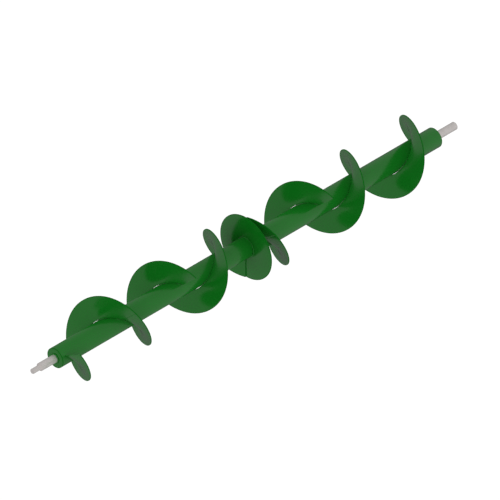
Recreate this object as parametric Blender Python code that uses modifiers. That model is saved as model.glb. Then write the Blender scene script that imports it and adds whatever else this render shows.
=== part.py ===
"""Soil auger: a welded cross auger with left-hand and right-hand flight on one hollow core tube.

A plain disc stands at the middle of the tube. On each side of it an inner run of flight winds one way and an
outer run winds the other way, so soil is moved towards, or away from, the place where the two runs meet.
A stub shaft in each end of the tube turns in the machine's bearings.

Units are metres and +Z is up. The tube lies along X with its middle at the origin, and "left" is -X.
Lengths called outward are measured along the tube from its middle, towards the end that is being made.
"""

from math import ceil, cos, hypot, pi, radians, sin

import bmesh
import bpy

# Core tube, a steel pipe
TUBE_LENGTH = 1.545
TUBE_DIAMETER = 0.0635
TUBE_WALL = 0.0036
TUBE_CHAMFER = 0.001

# Flight, pressed from plate in pieces of one turn and butt-welded into runs
FLIGHT_DIAMETER = 0.208
FLIGHT_CLEARANCE = 0.00085
FLIGHT_THICKNESS = 0.0025
PITCH = 0.2445
OUTER_TURNS = 2
END_TRIM = radians(12.5)
BARE_TUBE_END = 0.004
CLOSING_ANGLE = radians(52.5)
BUTT_GAP = 0.0003

# Centre disc
DISC_DIAMETER = 0.208
DISC_THICKNESS = 0.0025

# Stub shafts and the discs that hold them
SHAFT_DIAMETER = 0.025
LEFT_JOURNAL_LENGTH = 0.062
LEFT_SPIGOT_DIAMETER = 0.016
LEFT_SPIGOT_LENGTH = 0.030
RIGHT_JOURNAL_LENGTH = 0.0835
SHAFT_CHAMFER = 0.001
CAP_THICKNESS = 0.008
CAP_CHAMFER = 0.002
INNER_DISC_THICKNESS = 0.008
INNER_DISC_DEPTH = 0.120

# Welds
SHAFT_WELD_LEG = 0.0045
DISC_WELD_LEG = 0.003
STITCH_LEG = 0.003
STITCH_ANGLE = radians(22)
STITCH_FROM_END = radians(12.5)
STITCHES = 3

# Touching faces of separate pieces stand this far apart
CONTACT_GAP = 0.0003

# Fineness of the curved surfaces
ROUND_STEPS = 48
SWEEP_STEP = radians(7.5)
STITCH_STEP = radians(5.5)
FLIGHT_BANDS = 4
SHARP_EDGE = radians(35)

# Directions in which the inner flights meet the centre disc, from +Y towards +Z
DOWN = radians(270)
UP = radians(90)

TUBE_RADIUS = TUBE_DIAMETER / 2
TUBE_BORE_RADIUS = TUBE_RADIUS - TUBE_WALL
TUBE_END = TUBE_LENGTH / 2
FLIGHT_RADIUS = FLIGHT_DIAMETER / 2
FLIGHT_BORE_RADIUS = TUBE_RADIUS + FLIGHT_CLEARANCE
SHAFT_RADIUS = SHAFT_DIAMETER / 2
ADVANCE = PITCH / (2 * pi)
RUNS_MEET = TUBE_END - BARE_TUBE_END - OUTER_TURNS * PITCH
DISC_FACE = DISC_THICKNESS / 2 + CONTACT_GAP
CLOSING_START = (DISC_THICKNESS + FLIGHT_THICKNESS) / 2


def clear_scene():
    for item in list(bpy.data.objects):
        bpy.data.objects.remove(item, do_unlink=True)


def make_material(name, color, roughness, metallic):
    material = bpy.data.materials.new(name)
    material.use_nodes = True
    shader = material.node_tree.nodes["Principled BSDF"]
    shader.inputs["Base Color"].default_value = (*color, 1)
    shader.inputs["Roughness"].default_value = roughness
    shader.inputs["Metallic"].default_value = metallic
    return material


clear_scene()
auger = bpy.data.collections.new("soil_auger")
bpy.context.scene.collection.children.link(auger)
spin_axis = bpy.data.objects.new("spin_axis", None)
auger.objects.link(spin_axis)
green_paint = make_material("green_paint", (0.011, 0.27, 0.02), roughness=0.2, metallic=0)
turned_steel = make_material("turned_steel", (0.62, 0.60, 0.58), roughness=0.3, metallic=1)


def add_piece(name, mesh, material):
    piece = bpy.data.objects.new(name, mesh)
    piece.parent = spin_axis
    mesh.materials.append(material)
    auger.objects.link(piece)
    return piece


def shade(mesh):
    mesh.shade_smooth()
    mesh.set_sharp_from_angle(angle=SHARP_EDGE)


def turned(name, profile, side, material, closed=True):
    """Turn a profile of (outward, radius) points about the tube's axis.

    The profile goes round its section with the outer side running outwards. A solid of revolution starts and
    ends on the axis, and is not closed.
    """
    mesh = bpy.data.meshes.new(name)
    points = [(side * outward, radius, 0) for outward, radius in profile]
    if side > 0:
        points.reverse()
    edges = [(i, i + 1) for i in range(len(points) - 1)]
    if closed:
        edges.append((len(points) - 1, 0))
    mesh.from_pydata(points, edges, [])
    piece = add_piece(name, mesh, material)
    screw = piece.modifiers.new("Turn", "SCREW")
    screw.axis = "X"
    screw.steps = screw.render_steps = ROUND_STEPS
    screw.use_merge_vertices = True
    screw.merge_threshold = 0.00001
    evaluated = piece.evaluated_get(bpy.context.evaluated_depsgraph_get())
    piece.data = bpy.data.meshes.new_from_object(evaluated)
    piece.modifiers.clear()
    shade(piece.data)
    return piece


def sweep(section, side, start, angle, step, advance):
    """Sweep a section of (outward, radius) points round the axis, moving outwards by advance per radian."""
    shape = bmesh.new()
    corners = [
        shape.verts.new((side * outward, radius * cos(start), radius * sin(start))) for outward, radius in section
    ]
    steps = ceil(abs(angle) / step)
    move = side * advance * abs(angle) / steps
    bmesh.ops.spin(
        shape,
        geom=[shape.faces.new(corners)],
        axis=(1, 0, 0),
        angle=angle,
        steps=steps,
        dvec=(move, 0, 0),
    )
    bmesh.ops.recalc_face_normals(shape, faces=shape.faces)
    return shape


def add_swept(name, shape, material):
    mesh = bpy.data.meshes.new(name)
    shape.to_mesh(mesh)
    shape.free()
    shade(mesh)
    return add_piece(name, mesh, material)


def along_axis(thickness, radius):
    """Length along the axis of a flight's or weld's thickness, which lies square to the helix at this radius."""
    return thickness * hypot(1, ADVANCE / radius)


def blade_section(middle):
    """The flight's section in a plane through the axis: plate of even thickness, thicker there at the root."""
    growth = (FLIGHT_RADIUS / FLIGHT_BORE_RADIUS) ** (1 / FLIGHT_BANDS)
    radii = [FLIGHT_BORE_RADIUS * growth**i for i in range(FLIGHT_BANDS + 1)]
    half = FLIGHT_THICKNESS / 2
    front = [(middle + along_axis(half, radius), radius) for radius in radii]
    back = [(middle - along_axis(half, radius), radius) for radius in reversed(radii)]
    return front + back


def stitch_section(middle, face):
    """A fillet weld in the corner of flight and tube, on the flight's outward (1) or inward (-1) face."""
    half = FLIGHT_THICKNESS / 2
    root = TUBE_RADIUS + CONTACT_GAP
    top = root + STITCH_LEG
    corner = along_axis(half, FLIGHT_BORE_RADIUS) + CONTACT_GAP
    toe = corner + along_axis(STITCH_LEG, TUBE_RADIUS)
    return [
        (middle + face * corner, root),
        (middle + face * toe, root),
        (middle + face * (along_axis(half, top) + CONTACT_GAP), top),
    ]


def add_flight(name, side, near, start, angle, weld_face, trimmed=False):
    """One piece of flight, and the stitch welds that hold it on the tube.

    It starts near the tube's middle, at the angle start, and turns by angle as it goes outwards. A trimmed piece
    starts against the centre disc, where its corner is cut back to the disc's face, and has one stitch.
    """
    butt = BUTT_GAP / 2 / FLIGHT_RADIUS
    turn = 1 if angle > 0 else -1
    inset = 0 if trimmed else butt
    section = blade_section(near + ADVANCE * inset)
    shape = sweep(section, side, start + turn * inset, angle - turn * (inset + butt), SWEEP_STEP, ADVANCE)
    if trimmed:
        cut_at_disc(shape, side)
    add_swept(name, shape, green_paint)

    # Stitches are set out evenly, from the piece's outer end.
    count = 1 if trimmed else STITCHES
    spacing = (abs(angle) - 2 * STITCH_FROM_END) / (STITCHES - 1)
    for number in range(1, count + 1):
        offset = STITCH_FROM_END + (number - 1) * spacing
        stitch_start = abs(angle) - offset - STITCH_ANGLE / 2
        section = stitch_section(near + ADVANCE * stitch_start, weld_face)
        begin = start + turn * stitch_start
        shape = sweep(section, side, begin, turn * STITCH_ANGLE, STITCH_STEP, ADVANCE)
        add_swept(f"{name}_weld_{number}", shape, green_paint)


def cut_at_disc(shape, side):
    """Cut a flight flush with the centre disc's face and close the cut."""
    cut = bmesh.ops.bisect_plane(
        shape,
        geom=shape.verts[:] + shape.edges[:] + shape.faces[:],
        plane_co=(side * DISC_FACE, 0, 0),
        plane_no=(side, 0, 0),
        clear_inner=True,
    )
    edges = [item for item in cut["geom_cut"] if isinstance(item, bmesh.types.BMEdge)]
    bmesh.ops.holes_fill(shape, edges=edges)
    bmesh.ops.recalc_face_normals(shape, faces=shape.faces)


def add_core_tube():
    end, bevel = TUBE_END, TUBE_CHAMFER
    turned(
        "core_tube",
        [
            (-end, TUBE_RADIUS - bevel),
            (bevel - end, TUBE_RADIUS),
            (end - bevel, TUBE_RADIUS),
            (end, TUBE_RADIUS - bevel),
            (end, TUBE_BORE_RADIUS),
            (-end, TUBE_BORE_RADIUS),
        ],
        1,
        green_paint,
    )


def add_centre_disc():
    half, radius = DISC_THICKNESS / 2, DISC_DIAMETER / 2
    hole = TUBE_RADIUS + CONTACT_GAP
    turned("centre_disc", [(-half, radius), (half, radius), (half, hole), (-half, hole)], 1, green_paint)


def add_disc_weld(name, side, meeting_angle):
    """The fillet round the foot of the centre disc, left open where the inner flight runs into the corner."""
    root = TUBE_RADIUS + CONTACT_GAP
    section = [(DISC_FACE, root), (DISC_FACE + DISC_WELD_LEG, root), (DISC_FACE, root + DISC_WELD_LEG)]
    half = FLIGHT_THICKNESS / 2
    blade_clears = DISC_FACE + DISC_WELD_LEG + CONTACT_GAP + along_axis(half, FLIGHT_BORE_RADIUS)
    start = (blade_clears - CLOSING_START) / ADVANCE
    finish = 2 * pi - CONTACT_GAP / root
    shape = sweep(section, side, meeting_angle + start, finish - start, SWEEP_STEP, 0)
    add_swept(name, shape, green_paint)


def add_end_cap(name, side):
    """A plug set flush in the tube's end, chamfered for the weld that holds it."""
    outer, hole = TUBE_BORE_RADIUS - CONTACT_GAP, SHAFT_RADIUS + CONTACT_GAP
    face, back = TUBE_END, TUBE_END - CAP_THICKNESS
    turned(
        f"{name}_end_cap",
        [(back, outer), (face - CAP_CHAMFER, outer), (face, outer - CAP_CHAMFER), (face, hole), (back, hole)],
        side,
        green_paint,
    )
    depth = CAP_CHAMFER - CONTACT_GAP
    turned(
        f"{name}_cap_weld",
        [(face - depth, outer), (face, outer), (face, outer - depth)],
        side,
        green_paint,
    )


def add_shaft_weld(name, side):
    root, foot = SHAFT_RADIUS + CONTACT_GAP, TUBE_END + CONTACT_GAP
    leg = SHAFT_WELD_LEG
    turned(f"{name}_shaft_weld", [(foot, root + leg), (foot + leg, root), (foot, root)], side, green_paint)


def add_inner_disc(name, side):
    """The second disc on the stub shaft, deep in the tube, which keeps the shaft in line."""
    outer, hole = TUBE_BORE_RADIUS - CONTACT_GAP, SHAFT_RADIUS + CONTACT_GAP
    face = TUBE_END - INNER_DISC_DEPTH
    back = face - INNER_DISC_THICKNESS
    turned(f"{name}_inner_disc", [(back, outer), (face, outer), (face, hole), (back, hole)], side, green_paint)


def add_stub_shaft(name, side, journal_length, spigot=None):
    """A turned shaft from the inner disc's back to its own end, with a thinner spigot if one is given."""
    inner_end = TUBE_END - INNER_DISC_DEPTH - INNER_DISC_THICKNESS
    bevel = SHAFT_CHAMFER
    steps = [(TUBE_END + journal_length, SHAFT_RADIUS)]
    if spigot:
        length, diameter = spigot
        steps.append((TUBE_END + journal_length + length, diameter / 2))
    profile = [(inner_end, 0), (inner_end, SHAFT_RADIUS - bevel), (inner_end + bevel, SHAFT_RADIUS)]
    for number, (end, radius) in enumerate(steps):
        if number:
            profile.append((steps[number - 1][0], radius))
        profile += [(end - bevel, radius), (end, radius - bevel)]
    profile.append((steps[-1][0], 0))
    turned(f"{name}_stub_shaft", profile, side, turned_steel, closed=False)


def add_flight_runs(name, side, meeting_angle):
    """The inner run, from the disc to where the runs meet, and the outer run, from there to the tube's end.

    Each run's free end there stands opposite the other's, and the outer run winds the other way. Its last piece is
    trimmed short, clear of the tube's end.
    """
    butt_place = CLOSING_START + ADVANCE * CLOSING_ANGLE
    inner_angle = (RUNS_MEET - butt_place) / ADVANCE
    closing_end = meeting_angle + CLOSING_ANGLE
    add_flight(f"{name}_closing_flight", side, CLOSING_START, meeting_angle, CLOSING_ANGLE, -1, trimmed=True)
    add_flight(f"{name}_inner_flight", side, butt_place, closing_end, inner_angle, -1)
    outer_start = closing_end + inner_angle + pi
    for turn in range(OUTER_TURNS):
        near = RUNS_MEET + turn * PITCH
        angle = 2 * pi - (END_TRIM if turn == OUTER_TURNS - 1 else 0)
        add_flight(f"{name}_outer_flight_{turn + 1}", side, near, outer_start, -angle, 1)


add_core_tube()
add_centre_disc()
for end_name, end_side, disc_angle in (("left", -1, DOWN), ("right", 1, UP)):
    add_end_cap(end_name, end_side)
    add_shaft_weld(end_name, end_side)
    add_inner_disc(end_name, end_side)
    add_disc_weld(f"{end_name}_disc_weld", end_side, disc_angle)
    add_flight_runs(end_name, end_side, disc_angle)
add_stub_shaft("left", -1, LEFT_JOURNAL_LENGTH, (LEFT_SPIGOT_LENGTH, LEFT_SPIGOT_DIAMETER))
add_stub_shaft("right", 1, RIGHT_JOURNAL_LENGTH)
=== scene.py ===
"""The look of a soil auger: glossy green paint on the welded flights, disc and tube, and bare turned stub shafts.

Units are metres. The tube lies along X with the centre disc at the origin, "left" is -X and +Z is up.
"""

from math import atan2, cos, hypot, pi, radians, sin

import bmesh
import bpy
from mathutils import Matrix, Vector


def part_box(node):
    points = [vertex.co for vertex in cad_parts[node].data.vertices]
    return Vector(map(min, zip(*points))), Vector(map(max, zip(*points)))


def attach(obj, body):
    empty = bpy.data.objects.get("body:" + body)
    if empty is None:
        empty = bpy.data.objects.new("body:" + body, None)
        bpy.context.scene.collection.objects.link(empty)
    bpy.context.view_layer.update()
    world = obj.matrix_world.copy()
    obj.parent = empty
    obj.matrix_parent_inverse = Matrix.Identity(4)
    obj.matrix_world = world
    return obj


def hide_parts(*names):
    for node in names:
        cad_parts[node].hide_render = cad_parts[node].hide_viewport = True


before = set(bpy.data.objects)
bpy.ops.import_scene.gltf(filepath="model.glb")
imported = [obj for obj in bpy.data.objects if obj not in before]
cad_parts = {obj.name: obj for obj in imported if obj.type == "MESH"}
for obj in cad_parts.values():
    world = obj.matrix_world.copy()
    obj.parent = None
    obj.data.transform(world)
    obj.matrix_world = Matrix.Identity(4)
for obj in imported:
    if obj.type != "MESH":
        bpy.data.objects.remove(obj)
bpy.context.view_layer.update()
bpy.ops.object.select_all(action="DESELECT")

# ---------------------------------------------------------------------------------------------------------------
# Camera. The auger is seen from the left and in front at the angle of an isometric drawing. A very long lens far
# away stands in for a parallel view, and the aim point sets the auger a little to the left of the middle.
VIEW_AROUND = radians(-45)
VIEW_UP = radians(35.264)
VIEW_TILT = radians(-0.2126)
LENS = 1600
VIEW_WIDTH = 1.43653
AIM_RIGHT = 0.01118
AIM_DOWN = 0.0085

bpy.ops.object.camera_add()
camera = bpy.context.object
camera.name = "camera"
camera.data.lens = LENS
camera.data.sensor_width = 36
camera_distance = VIEW_WIDTH * LENS / 36
facing = (
    Matrix.Rotation(VIEW_AROUND, 3, "Z")
    @ Matrix.Rotation(pi / 2 - VIEW_UP, 3, "X")
    @ Matrix.Rotation(VIEW_TILT, 3, "Z")
)
camera.rotation_euler = facing.to_euler()
camera.location = facing @ Vector((AIM_RIGHT, -AIM_DOWN, camera_distance))
camera.data.clip_start = 1
camera.data.clip_end = 400
bpy.context.scene.camera = camera
bpy.context.scene.view_settings.view_transform = "Standard"

# ---------------------------------------------------------------------------------------------------------------
# Studio. A tent lights the auger softly from all round, a little more from the front and less from low down at the
# back, and the floor lies well below it. Both are blown out to white behind the auger, so that no shadow shows.
BACKDROP_WHITE = 1.05
TENT_LIGHT = 0.482
FRONT_LIGHT = 0.10
FRONT = (0, -1, 0)
LOW_BACK_LOSS = 0.34
LOW_BACK = (0.577, 0.577, -0.577)
FLOOR_DROP = 0.6
FLOOR_SIZE = 400


class Shade:
    """A shader socket. Arithmetic on it adds Math nodes, and node() adds a node of any other kind."""

    def __init__(self, socket):
        self.socket = socket

    @staticmethod
    def node(tree, kind, settings, inputs, output=0):
        made = tree.nodes.new("ShaderNode" + kind)
        for name, value in settings.items():
            setattr(made, name, value)
        for name, value in inputs.items():
            if isinstance(value, Shade):
                tree.links.new(value.socket, made.inputs[name])
            else:
                made.inputs[name].default_value = value
        return Shade(made.outputs[output])

    def math(self, operation, first, second):
        return Shade.node(self.socket.id_data, "Math", {"operation": operation}, {0: first, 1: second})

    def __add__(self, other):
        return self.math("ADD", self, other)

    def __radd__(self, other):
        return self.math("ADD", other, self)

    def __sub__(self, other):
        return self.math("SUBTRACT", self, other)

    def __rsub__(self, other):
        return self.math("SUBTRACT", other, self)

    def __mul__(self, other):
        return self.math("MULTIPLY", self, other)

    def __rmul__(self, other):
        return self.math("MULTIPLY", other, self)


tent = bpy.data.worlds.new("white_tent")
tent.use_nodes = True
bpy.context.scene.world = tent
tent_nodes = tent.node_tree
direction = Shade.node(tent_nodes, "TexCoord", {}, {}, "Generated")


def towards(side):
    """How far a direction leans to that side, from 0 to 1."""
    lean = Shade.node(tent_nodes, "VectorMath", {"operation": "DOT_PRODUCT"}, {0: direction, 1: side}, "Value")
    return lean.math("MAXIMUM", lean, 0)


low_back = towards(LOW_BACK)
cast = TENT_LIGHT + towards(FRONT) * FRONT_LIGHT - low_back * low_back * LOW_BACK_LOSS
seen = Shade.node(tent_nodes, "LightPath", {}, {}, "Is Camera Ray")
tent_glow = cast + seen * (BACKDROP_WHITE - cast)
backing = tent_nodes.nodes["Background"]
backing.inputs["Color"].default_value = (1, 1, 1, 1)
tent_nodes.links.new(tent_glow.socket, backing.inputs["Strength"])

bpy.ops.mesh.primitive_plane_add(size=FLOOR_SIZE, location=(0, 0, -FLOOR_DROP))
floor = bpy.context.object
floor.name = "floor"
floor.visible_diffuse = floor.visible_glossy = False
white_floor = bpy.data.materials.new("white_floor")
white_floor.use_nodes = True
floor_nodes = white_floor.node_tree
floor_nodes.nodes.remove(floor_nodes.nodes["Principled BSDF"])
shine = Shade.node(floor_nodes, "Emission", {}, {"Color": (1, 1, 1, 1), "Strength": BACKDROP_WHITE}, "Emission")
floor_nodes.links.new(shine.socket, floor_nodes.nodes["Material Output"].inputs["Surface"])
floor.data.materials.append(white_floor)

# ---------------------------------------------------------------------------------------------------------------
# Core tube. A length of steel pipe that everything else is welded to. Both ends are cut square and chamfered, and
# the whole auger is painted in one glossy dark green after welding. At sharp edges the paint is dull, and its
# colour is darker there as painted shade.
TUBE_WALL = 0.0036
TUBE_CHAMFER = 0.001
ROUND = 144
PAINT_GREEN = (0.007, 0.262, 0.016)
# Painted shade: the darker green that is laid along the sharp edges.
EDGE_SHADE_GREEN = (0.006, 0.21, 0.013)
EDGE_SHEEN = 0.05
EDGE_ROUGHNESS = 0.8
CLOUDS_PER_METRE = 9
CLOUD_LIGHTER = 1.03
CLOUD_DARKER = 0.97
CLOUD_ROUGHENS = 0.03
EDGE_SHADE_NOISE_PER_METRE = 130
EDGE_SHADE_AT_LEAST = 0.75
EDGE_SHADE_BY_NOISE = 0.4
CORNER = radians(60)
PAINT_ROUGHNESS = 0.18
PAINT_IOR = 1.5
PEEL_PER_METRE = 240
PEEL_DEPTH = 0.000004
EDGE_FADE = 0.0024

tube_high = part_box("core_tube")[1]
tube_radius = tube_high.z
tube_end = tube_high.x
plate_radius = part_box("centre_disc")[1].z


def new_material(name):
    material = bpy.data.materials.new(name)
    material.use_nodes = True
    tree = material.node_tree
    place = Shade.node(tree, "TexCoord", {}, {}, "Object")
    return material, tree, tree.nodes["Principled BSDF"], place


green_paint, paint_nodes, paint_shader, place = new_material("green_paint")


def ramp(value, low, high):
    """0 below low, 1 above high, and smooth between them."""
    settings = {"interpolation_type": "SMOOTHSTEP"}
    inputs = {"Value": value, "From Min": low, "From Max": high}
    return Shade.node(value.socket.id_data, "MapRange", settings, inputs, "Result")


def blend(tree, share, first, second):
    """A colour between two, at that share of the second."""
    return Shade.node(tree, "Mix", {"data_type": "RGBA"}, {0: share, 6: first, 7: second}, 2)


def tone(color, amount):
    return [*(channel * amount for channel in color), 1]


cloudy = Shade.node(paint_nodes, "TexNoise", {}, {"Vector": place, "Scale": CLOUDS_PER_METRE, "Detail": 3}, "Fac")
edge_shade_noise = Shade.node(paint_nodes, "TexNoise", {}, {"Vector": place, "Scale": EDGE_SHADE_NOISE_PER_METRE, "Detail": 3}, "Fac")
peel = Shade.node(paint_nodes, "TexNoise", {}, {"Vector": place, "Scale": PEEL_PER_METRE, "Detail": 2}, "Fac")
peeled = Shade.node(paint_nodes, "Bump", {}, {"Height": peel, "Distance": PEEL_DEPTH, "Strength": 1}, "Normal")
across = Shade.node(paint_nodes, "VectorMath", {"operation": "MULTIPLY"}, {0: place, 1: (0, 1, 1)}, "Vector")
from_axis = Shade.node(paint_nodes, "VectorMath", {"operation": "LENGTH"}, {0: across}, "Value")
along = Shade.node(paint_nodes, "SeparateXYZ", {}, {"Vector": place}, "X")
outwards = along.math("ABSOLUTE", along, 0)
# Painted shade: a darker, dull green is mixed in along the plates' rims and the rims of the tube's ends, and noise
# varies its strength.
rim = ramp(from_axis, plate_radius - EDGE_FADE, plate_radius - EDGE_FADE / 3)
end_rim = ramp(outwards, tube_end - 1.4 * EDGE_FADE, tube_end - 0.7 * EDGE_FADE) * ramp(
    from_axis, tube_radius - 1.2 * TUBE_CHAMFER, tube_radius - 0.8 * TUBE_CHAMFER
)
painted_edge_shade = rim.math("MAXIMUM", rim, end_rim) * (EDGE_SHADE_AT_LEAST + edge_shade_noise * EDGE_SHADE_BY_NOISE)
shades = tone(PAINT_GREEN, CLOUD_DARKER), tone(PAINT_GREEN, CLOUD_LIGHTER)
paint_color = blend(paint_nodes, ramp(cloudy, 0.25, 0.75), *shades)
flow = PAINT_ROUGHNESS + (cloudy - 0.5) * CLOUD_ROUGHENS
shaded_edge_settings = {"Base Color": (*EDGE_SHADE_GREEN, 1), "Roughness": EDGE_ROUGHNESS, "Specular IOR Level": EDGE_SHEEN}
shaded_edge = Shade.node(paint_nodes, "BsdfPrincipled", {}, shaded_edge_settings, "BSDF")
glossy = Shade(paint_shader.outputs["BSDF"])
coat = Shade.node(paint_nodes, "MixShader", {}, {0: painted_edge_shade, 1: glossy, 2: shaded_edge}, "Shader")
paint_nodes.links.new(coat.socket, paint_nodes.nodes["Material Output"].inputs["Surface"])
paint_nodes.links.new(paint_color.socket, paint_shader.inputs["Base Color"])
paint_nodes.links.new(flow.socket, paint_shader.inputs["Roughness"])
paint_nodes.links.new(peeled.socket, paint_shader.inputs["Normal"])
paint_shader.inputs["IOR"].default_value = PAINT_IOR


def select_in(piece, kind, test):
    """In edit mode, select only the "verts" or "faces" that the test picks, by their place."""
    shape = bmesh.from_edit_mesh(piece.data)
    bpy.ops.mesh.select_all(action="DESELECT")
    bpy.ops.mesh.select_mode(type={"verts": "VERT", "faces": "FACE"}[kind])
    for item in getattr(shape, kind):
        if kind == "verts":
            chosen = test(item.co)
        else:
            chosen = test(item.calc_center_median(), item.normal)
        if chosen:
            item.select_set(True)
    shape.select_flush(True)
    bmesh.update_edit_mesh(piece.data)


def modify(piece, kind, **settings):
    """Add a modifier and apply it at once."""
    modifier = piece.modifiers.new(kind.title(), kind)
    for name, value in settings.items():
        setattr(modifier, name, value)
    bpy.ops.object.modifier_apply(modifier=modifier.name)


def finish(piece, name, material, slot, *nodes, sharp=radians(40)):
    """Close the piece's making: outward faces, smooth shading, its finish, and the solids that it stands for."""
    bpy.ops.object.transform_apply(location=True, rotation=True, scale=True)
    bpy.ops.object.mode_set(mode="EDIT")
    bpy.ops.mesh.select_all(action="SELECT")
    bpy.ops.mesh.remove_doubles(threshold=0.000001)
    bpy.ops.mesh.normals_make_consistent(inside=False)
    bpy.ops.object.mode_set(mode="OBJECT")
    bpy.ops.object.shade_smooth_by_angle(angle=sharp)
    piece.name = piece.data.name = name
    piece.data.materials.clear()
    piece.data.materials.append(material)
    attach(piece, "root")
    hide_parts(*nodes)
    piece.select_set(False)


bpy.ops.mesh.primitive_cylinder_add(
    vertices=ROUND,
    radius=tube_radius,
    depth=2 * tube_end,
    end_fill_type="NOTHING",
    rotation=(0, pi / 2, 0),
)
tube = bpy.context.object
modify(tube, "SOLIDIFY", thickness=TUBE_WALL, offset=-1, use_even_offset=True)
modify(tube, "BEVEL", width=TUBE_CHAMFER, segments=2, limit_method="ANGLE", angle_limit=CORNER)
finish(tube, "tube", green_paint, "green_paint", "core_tube")

# ---------------------------------------------------------------------------------------------------------------
# Centre disc. A plain ring of plate, slipped over the tube and welded round its foot on both sides. The flights of
# both halves end on its faces.
disc_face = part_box("centre_disc")[1].x
EDGE_ROUND = 0.0004
HOLE_CLEARANCE = 0.0002


def plate_ring(hole, radius, near, far):
    """A flat ring of plate round the tube's axis, from near to far along it."""
    middle = (near + far) / 2
    bpy.ops.mesh.primitive_circle_add(vertices=ROUND, radius=hole, location=(middle, 0, 0), rotation=(0, pi / 2, 0))
    ring = bpy.context.object
    bpy.ops.object.transform_apply(location=True, rotation=True, scale=True)
    bpy.ops.object.mode_set(mode="EDIT")
    bpy.ops.mesh.select_mode(type="VERT")
    bpy.ops.mesh.select_all(action="SELECT")
    bpy.ops.mesh.extrude_region_move()
    bpy.ops.transform.resize(value=(1, radius / hole, radius / hole), center_override=(middle, 0, 0))
    bpy.ops.object.mode_set(mode="OBJECT")
    modify(ring, "SOLIDIFY", thickness=abs(far - near), offset=0)
    return ring


disc = plate_ring(tube_radius + HOLE_CLEARANCE, plate_radius, -disc_face, disc_face)
modify(disc, "BEVEL", width=EDGE_ROUND, segments=2, limit_method="ANGLE", angle_limit=CORNER)
finish(disc, "disc", green_paint, "green_paint", "centre_disc")

# ---------------------------------------------------------------------------------------------------------------
# Flights. Rings of plate, slit and pulled out to the pitch, slid on the tube and butted end to end. From the disc
# a short closing piece and a little more than a turn wind one way, then two turns, the last one trimmed short,
# wind the other way out to the tube's end.
PITCH = 0.2445
ADVANCE = PITCH / (2 * pi)
PLATE = 0.0025
BORE_CLEARANCE = 0.00085
OUTER_RUN_SHORT_OF_END = 0.004
CLOSING_TURN = radians(52.5)
END_TRIM = radians(12.5)
BLADE_STEP = radians(2.5)
BLADE_CUTS = 17
BUTT_EASE = 0.00025
DISC_MEETINGS = (("left", -1, radians(270)), ("right", 1, radians(90)))

bore_radius = tube_radius + BORE_CLEARANCE
closing_start = disc_face + PLATE / 2
closing_end = closing_start + ADVANCE * CLOSING_TURN
runs_meet = tube_end - OUTER_RUN_SHORT_OF_END - 2 * PITCH
laid_blades = []


def flight(name, side, near, start, turn, node, cut=None):
    """A blade that starts near the disc at the angle start, and winds outwards by turn."""
    width = plate_radius - bore_radius
    middle = (plate_radius + bore_radius) / 2
    bpy.ops.mesh.primitive_plane_add(
        size=width,
        location=(side * near + width / 2, middle * cos(start), middle * sin(start)),
        rotation=(start, 0, 0),
    )
    blade = bpy.context.object
    bpy.ops.object.transform_apply(location=True, rotation=True, scale=True)
    bpy.ops.object.mode_set(mode="EDIT")
    select_in(blade, "verts", lambda corner: corner.x > side * near + width / 2)
    bpy.ops.mesh.delete(type="VERT")
    bpy.ops.mesh.select_all(action="SELECT")
    bpy.ops.mesh.subdivide(number_cuts=BLADE_CUTS)
    bpy.ops.object.mode_set(mode="OBJECT")
    steps = round(abs(turn) / BLADE_STEP)
    modify(
        blade,
        "SCREW",
        axis="X",
        angle=turn,
        screw_offset=side * ADVANCE * abs(turn),
        steps=steps,
        render_steps=steps,
    )
    modify(blade, "SOLIDIFY", thickness=PLATE, offset=0, use_even_offset=True)
    if cut is not None:
        bpy.ops.object.mode_set(mode="EDIT")
        bpy.ops.mesh.select_all(action="SELECT")
        bpy.ops.mesh.bisect(plane_co=(side * cut, 0, 0), plane_no=(side, 0, 0), use_fill=True, clear_inner=True)
        bpy.ops.object.mode_set(mode="OBJECT")
    modify(blade, "BEVEL", width=BUTT_EASE, segments=2, limit_method="ANGLE", angle_limit=CORNER)
    finish(blade, name, green_paint, "green_paint", node)
    laid_blades.append((node, side, near, start, turn))


for end_name, side, meeting in DISC_MEETINGS:
    flight(
        f"{end_name}_closing_blade",
        side,
        closing_start,
        meeting,
        CLOSING_TURN,
        f"{end_name}_closing_flight",
        cut=disc_face,
    )
    inner_turn = (runs_meet - closing_end) / ADVANCE
    inner_start = meeting + CLOSING_TURN
    flight(f"{end_name}_inner_blade", side, closing_end, inner_start, inner_turn, f"{end_name}_inner_flight")
    outer_start = inner_start + inner_turn + pi
    for number in (1, 2):
        flight(
            f"{end_name}_outer_blade_{number}",
            side,
            runs_meet + (number - 1) * PITCH,
            outer_start,
            (END_TRIM if number == 2 else 0) - 2 * pi,
            f"{end_name}_outer_flight_{number}",
        )

# ---------------------------------------------------------------------------------------------------------------
# Stub shafts. Turned from round bar to fit the bearings, and left unpainted. The left one is stepped down to a
# spigot for the drive, the right one is plain. Both run deep into the tube.
SPIGOT_RADIUS = 0.008
SPIGOT_LENGTH = 0.030
SHAFT_CHAMFER = 0.001
STEEL_GREY = (0.96, 0.905, 0.88)
STEEL_SHEEN = 0.6
STEEL_ROUGHNESS = 0.4
GROOVES_PER_METRE = 900
GROOVE_DEPTH = 0.000008
GROOVES_ROUGHEN = 0.08
SMEARS_PER_METRE = 60
SMEARS_ROUGHEN = 0.04
SMEAR_LIGHTER = 1.03
SMEAR_DARKER = 0.96

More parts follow.
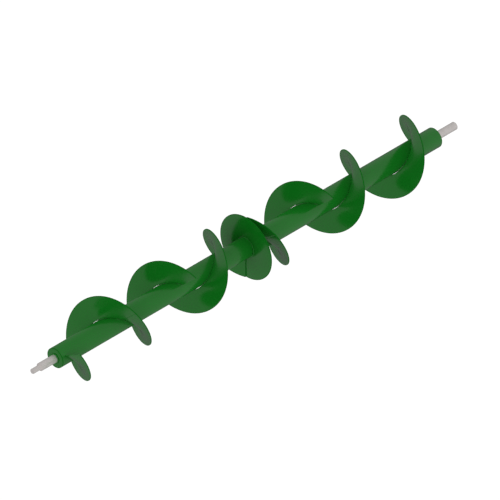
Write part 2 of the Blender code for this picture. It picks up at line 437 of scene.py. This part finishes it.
turned_steel, steel_nodes, steel_shader, place = new_material("turned_steel")
drawn_out = Shade.node(steel_nodes, "Mapping", {}, {"Vector": place, "Scale": (1, 0.02, 0.02)}, "Vector")
groove_inputs = {"Vector": drawn_out, "Scale": GROOVES_PER_METRE, "Detail": 2}
grooves = Shade.node(steel_nodes, "TexNoise", {}, groove_inputs, "Fac")
smears = Shade.node(steel_nodes, "TexNoise", {}, {"Vector": place, "Scale": SMEARS_PER_METRE, "Detail": 3}, "Fac")
shades = tone(STEEL_GREY, SMEAR_DARKER), tone(STEEL_GREY, SMEAR_LIGHTER)
steel_color = blend(steel_nodes, ramp(smears, 0.3, 0.7), *shades)
steel_roughness = STEEL_ROUGHNESS + grooves * GROOVES_ROUGHEN + smears * SMEARS_ROUGHEN
grooved = Shade.node(steel_nodes, "Bump", {}, {"Height": grooves, "Distance": GROOVE_DEPTH, "Strength": 1}, "Normal")
steel_nodes.links.new(steel_color.socket, steel_shader.inputs["Base Color"])
steel_nodes.links.new(steel_roughness.socket, steel_shader.inputs["Roughness"])
steel_nodes.links.new(grooved.socket, steel_shader.inputs["Normal"])
steel_shader.inputs["Metallic"].default_value = STEEL_SHEEN


def stub_shaft(name, side, node, spigot):
    low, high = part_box(node)
    radius = high.z
    inner, outer = sorted((low.x, high.x), key=abs)
    if spigot:
        outer -= side * SPIGOT_LENGTH
    bpy.ops.mesh.primitive_cylinder_add(
        vertices=ROUND,
        radius=radius,
        depth=abs(outer - inner),
        location=((inner + outer) / 2, 0, 0),
        rotation=(0, pi / 2, 0),
    )
    shaft = bpy.context.object
    bpy.ops.object.transform_apply(location=True, rotation=True, scale=True)
    if spigot:
        bpy.ops.object.mode_set(mode="EDIT")
        select_in(shaft, "faces", lambda middle, normal: normal.x * side > 0.9)
        bpy.ops.mesh.inset(thickness=radius - SPIGOT_RADIUS)
        bpy.ops.mesh.extrude_region_move(TRANSFORM_OT_translate={"value": (side * SPIGOT_LENGTH, 0, 0)})
        bpy.ops.object.mode_set(mode="OBJECT")
    modify(shaft, "BEVEL", width=SHAFT_CHAMFER, segments=1, limit_method="ANGLE", angle_limit=CORNER)
    finish(shaft, name, turned_steel, "turned_steel", node, sharp=radians(30))


stub_shaft("drive_shaft", -1, "left_stub_shaft", spigot=True)
stub_shaft("idle_shaft", 1, "right_stub_shaft", spigot=False)

# ---------------------------------------------------------------------------------------------------------------
# End plugs. Thick rings of steel set flush in the tube's ends to carry the shafts, with a small bead round the seam.
# A second ring deep in the tube keeps each shaft in line; it is out of sight and stays as it was built.
PLUG_THICKNESS = 0.008
PLUG_BEAD = 0.0009
PLUG_BEAD_SUNK = 0.0005
SHAFT_BEAD = 0.0021
SHAFT_BEAD_OUT = 0.0014
SHAFT_BEAD_PROUD = 0.0009
RIPPLE = 0.08
shaft_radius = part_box("right_stub_shaft")[1].z


def bead_ring(name, radius, bead, place_along, node):
    """A weld bead laid right round the axis, with the ripples of its even steps."""
    bpy.ops.mesh.primitive_torus_add(
        major_segments=ROUND,
        minor_segments=12,
        major_radius=radius,
        minor_radius=bead,
        location=(place_along, 0, 0),
        rotation=(0, pi / 2, 0),
    )
    ring = bpy.context.object
    bpy.ops.object.transform_apply(location=True, rotation=True, scale=True)
    bpy.ops.object.mode_set(mode="EDIT")
    step = 2 * pi / ROUND
    select_in(ring, "verts", lambda corner: round(atan2(corner.z, corner.y) / step) % 3 == 0)
    bpy.ops.transform.shrink_fatten(value=-bead * RIPPLE)
    bpy.ops.object.mode_set(mode="OBJECT")
    finish(ring, name, green_paint, "green_paint", node, sharp=CORNER)


for end_name, side in (("left", -1), ("right", 1)):
    face = side * tube_end
    plug = plate_ring(shaft_radius + HOLE_CLEARANCE, tube_radius - TUBE_WALL, face - side * PLUG_THICKNESS, face)
    modify(plug, "BEVEL", width=EDGE_ROUND, segments=2, limit_method="ANGLE", angle_limit=CORNER)
    finish(plug, f"{end_name}_plug", green_paint, "green_paint", f"{end_name}_end_cap")
    seam, root = face - side * PLUG_BEAD_SUNK, face + side * SHAFT_BEAD_PROUD
    bead_ring(f"{end_name}_plug_bead", tube_radius - TUBE_WALL, PLUG_BEAD, seam, f"{end_name}_cap_weld")
    bead_ring(f"{end_name}_shaft_bead", shaft_radius + SHAFT_BEAD_OUT, SHAFT_BEAD, root, f"{end_name}_shaft_weld")
    inner_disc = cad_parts[f"{end_name}_inner_disc"].data.materials
    inner_disc.clear()
    inner_disc.append(green_paint)

# ---------------------------------------------------------------------------------------------------------------
# Disc welds and stitches. A fillet bead runs round the foot of the disc on each side, and short stitches hold each
# piece of flight on one face: one at either end and one half-way, and a single one on the short closing pieces.
STITCH_HALF_LENGTH = 0.0065
STITCH_BEAD = 0.0014
STITCH_RINGS = 20
STITCH_FROM_END = radians(12.5)
DISC_BEAD = 0.0014


def in_a_furrow(corner):
    """True on every second ring of a bead one metre in radius, apart from its two ends."""
    ring = round(atan2(corner.z, hypot(corner.x, corner.y)) * STITCH_RINGS / pi)
    return abs(corner.z) < 0.95 and ring % 2 == 0


def stitch(name, side, near, start, turn, back, face):
    """A short bead in the corner of blade and tube, that far back from the blade's outer end."""
    along_blade = abs(turn) - back
    angle = start + (along_blade if turn > 0 else -along_blade)
    winding = 1 if turn > 0 else -1
    half = PLATE / 2 * hypot(1, ADVANCE / bore_radius)
    radius = tube_radius + STITCH_BEAD / 2
    place_along = side * (near + ADVANCE * along_blade + face * (half + STITCH_BEAD))
    bpy.ops.mesh.primitive_uv_sphere_add(segments=12, ring_count=STITCH_RINGS, radius=1)
    bead = bpy.context.object
    bpy.ops.object.mode_set(mode="EDIT")
    select_in(bead, "verts", in_a_furrow)
    bpy.ops.transform.resize(value=(1 - RIPPLE, 1 - RIPPLE, 1), center_override=(0, 0, 0))
    bpy.ops.object.mode_set(mode="OBJECT")
    run = Vector((side * ADVANCE, -radius * sin(angle) * winding, radius * cos(angle) * winding))
    bead.scale = (STITCH_BEAD, STITCH_BEAD, STITCH_HALF_LENGTH)
    bead.rotation_euler = run.to_track_quat("Z", "Y").to_euler()
    bead.location = (place_along, radius * cos(angle), radius * sin(angle))
    finish(bead, name, green_paint, "green_paint", name, sharp=CORNER)


for end_name, side, meeting in DISC_MEETINGS:
    foot = side * (disc_face + DISC_BEAD / 2)
    bead_ring(f"{end_name}_disc_bead", tube_radius + DISC_BEAD / 3, DISC_BEAD, foot, f"{end_name}_disc_weld")
for name, side, near, start, turn in laid_blades:
    closing = "closing" in name
    face = 1 if "outer" in name else -1
    spacing = (abs(turn) - 2 * STITCH_FROM_END) / 2
    for number in range(1, 2 if closing else 4):
        stitch(f"{name}_weld_{number}", side, near, start, turn, STITCH_FROM_END + (number - 1) * spacing, face)
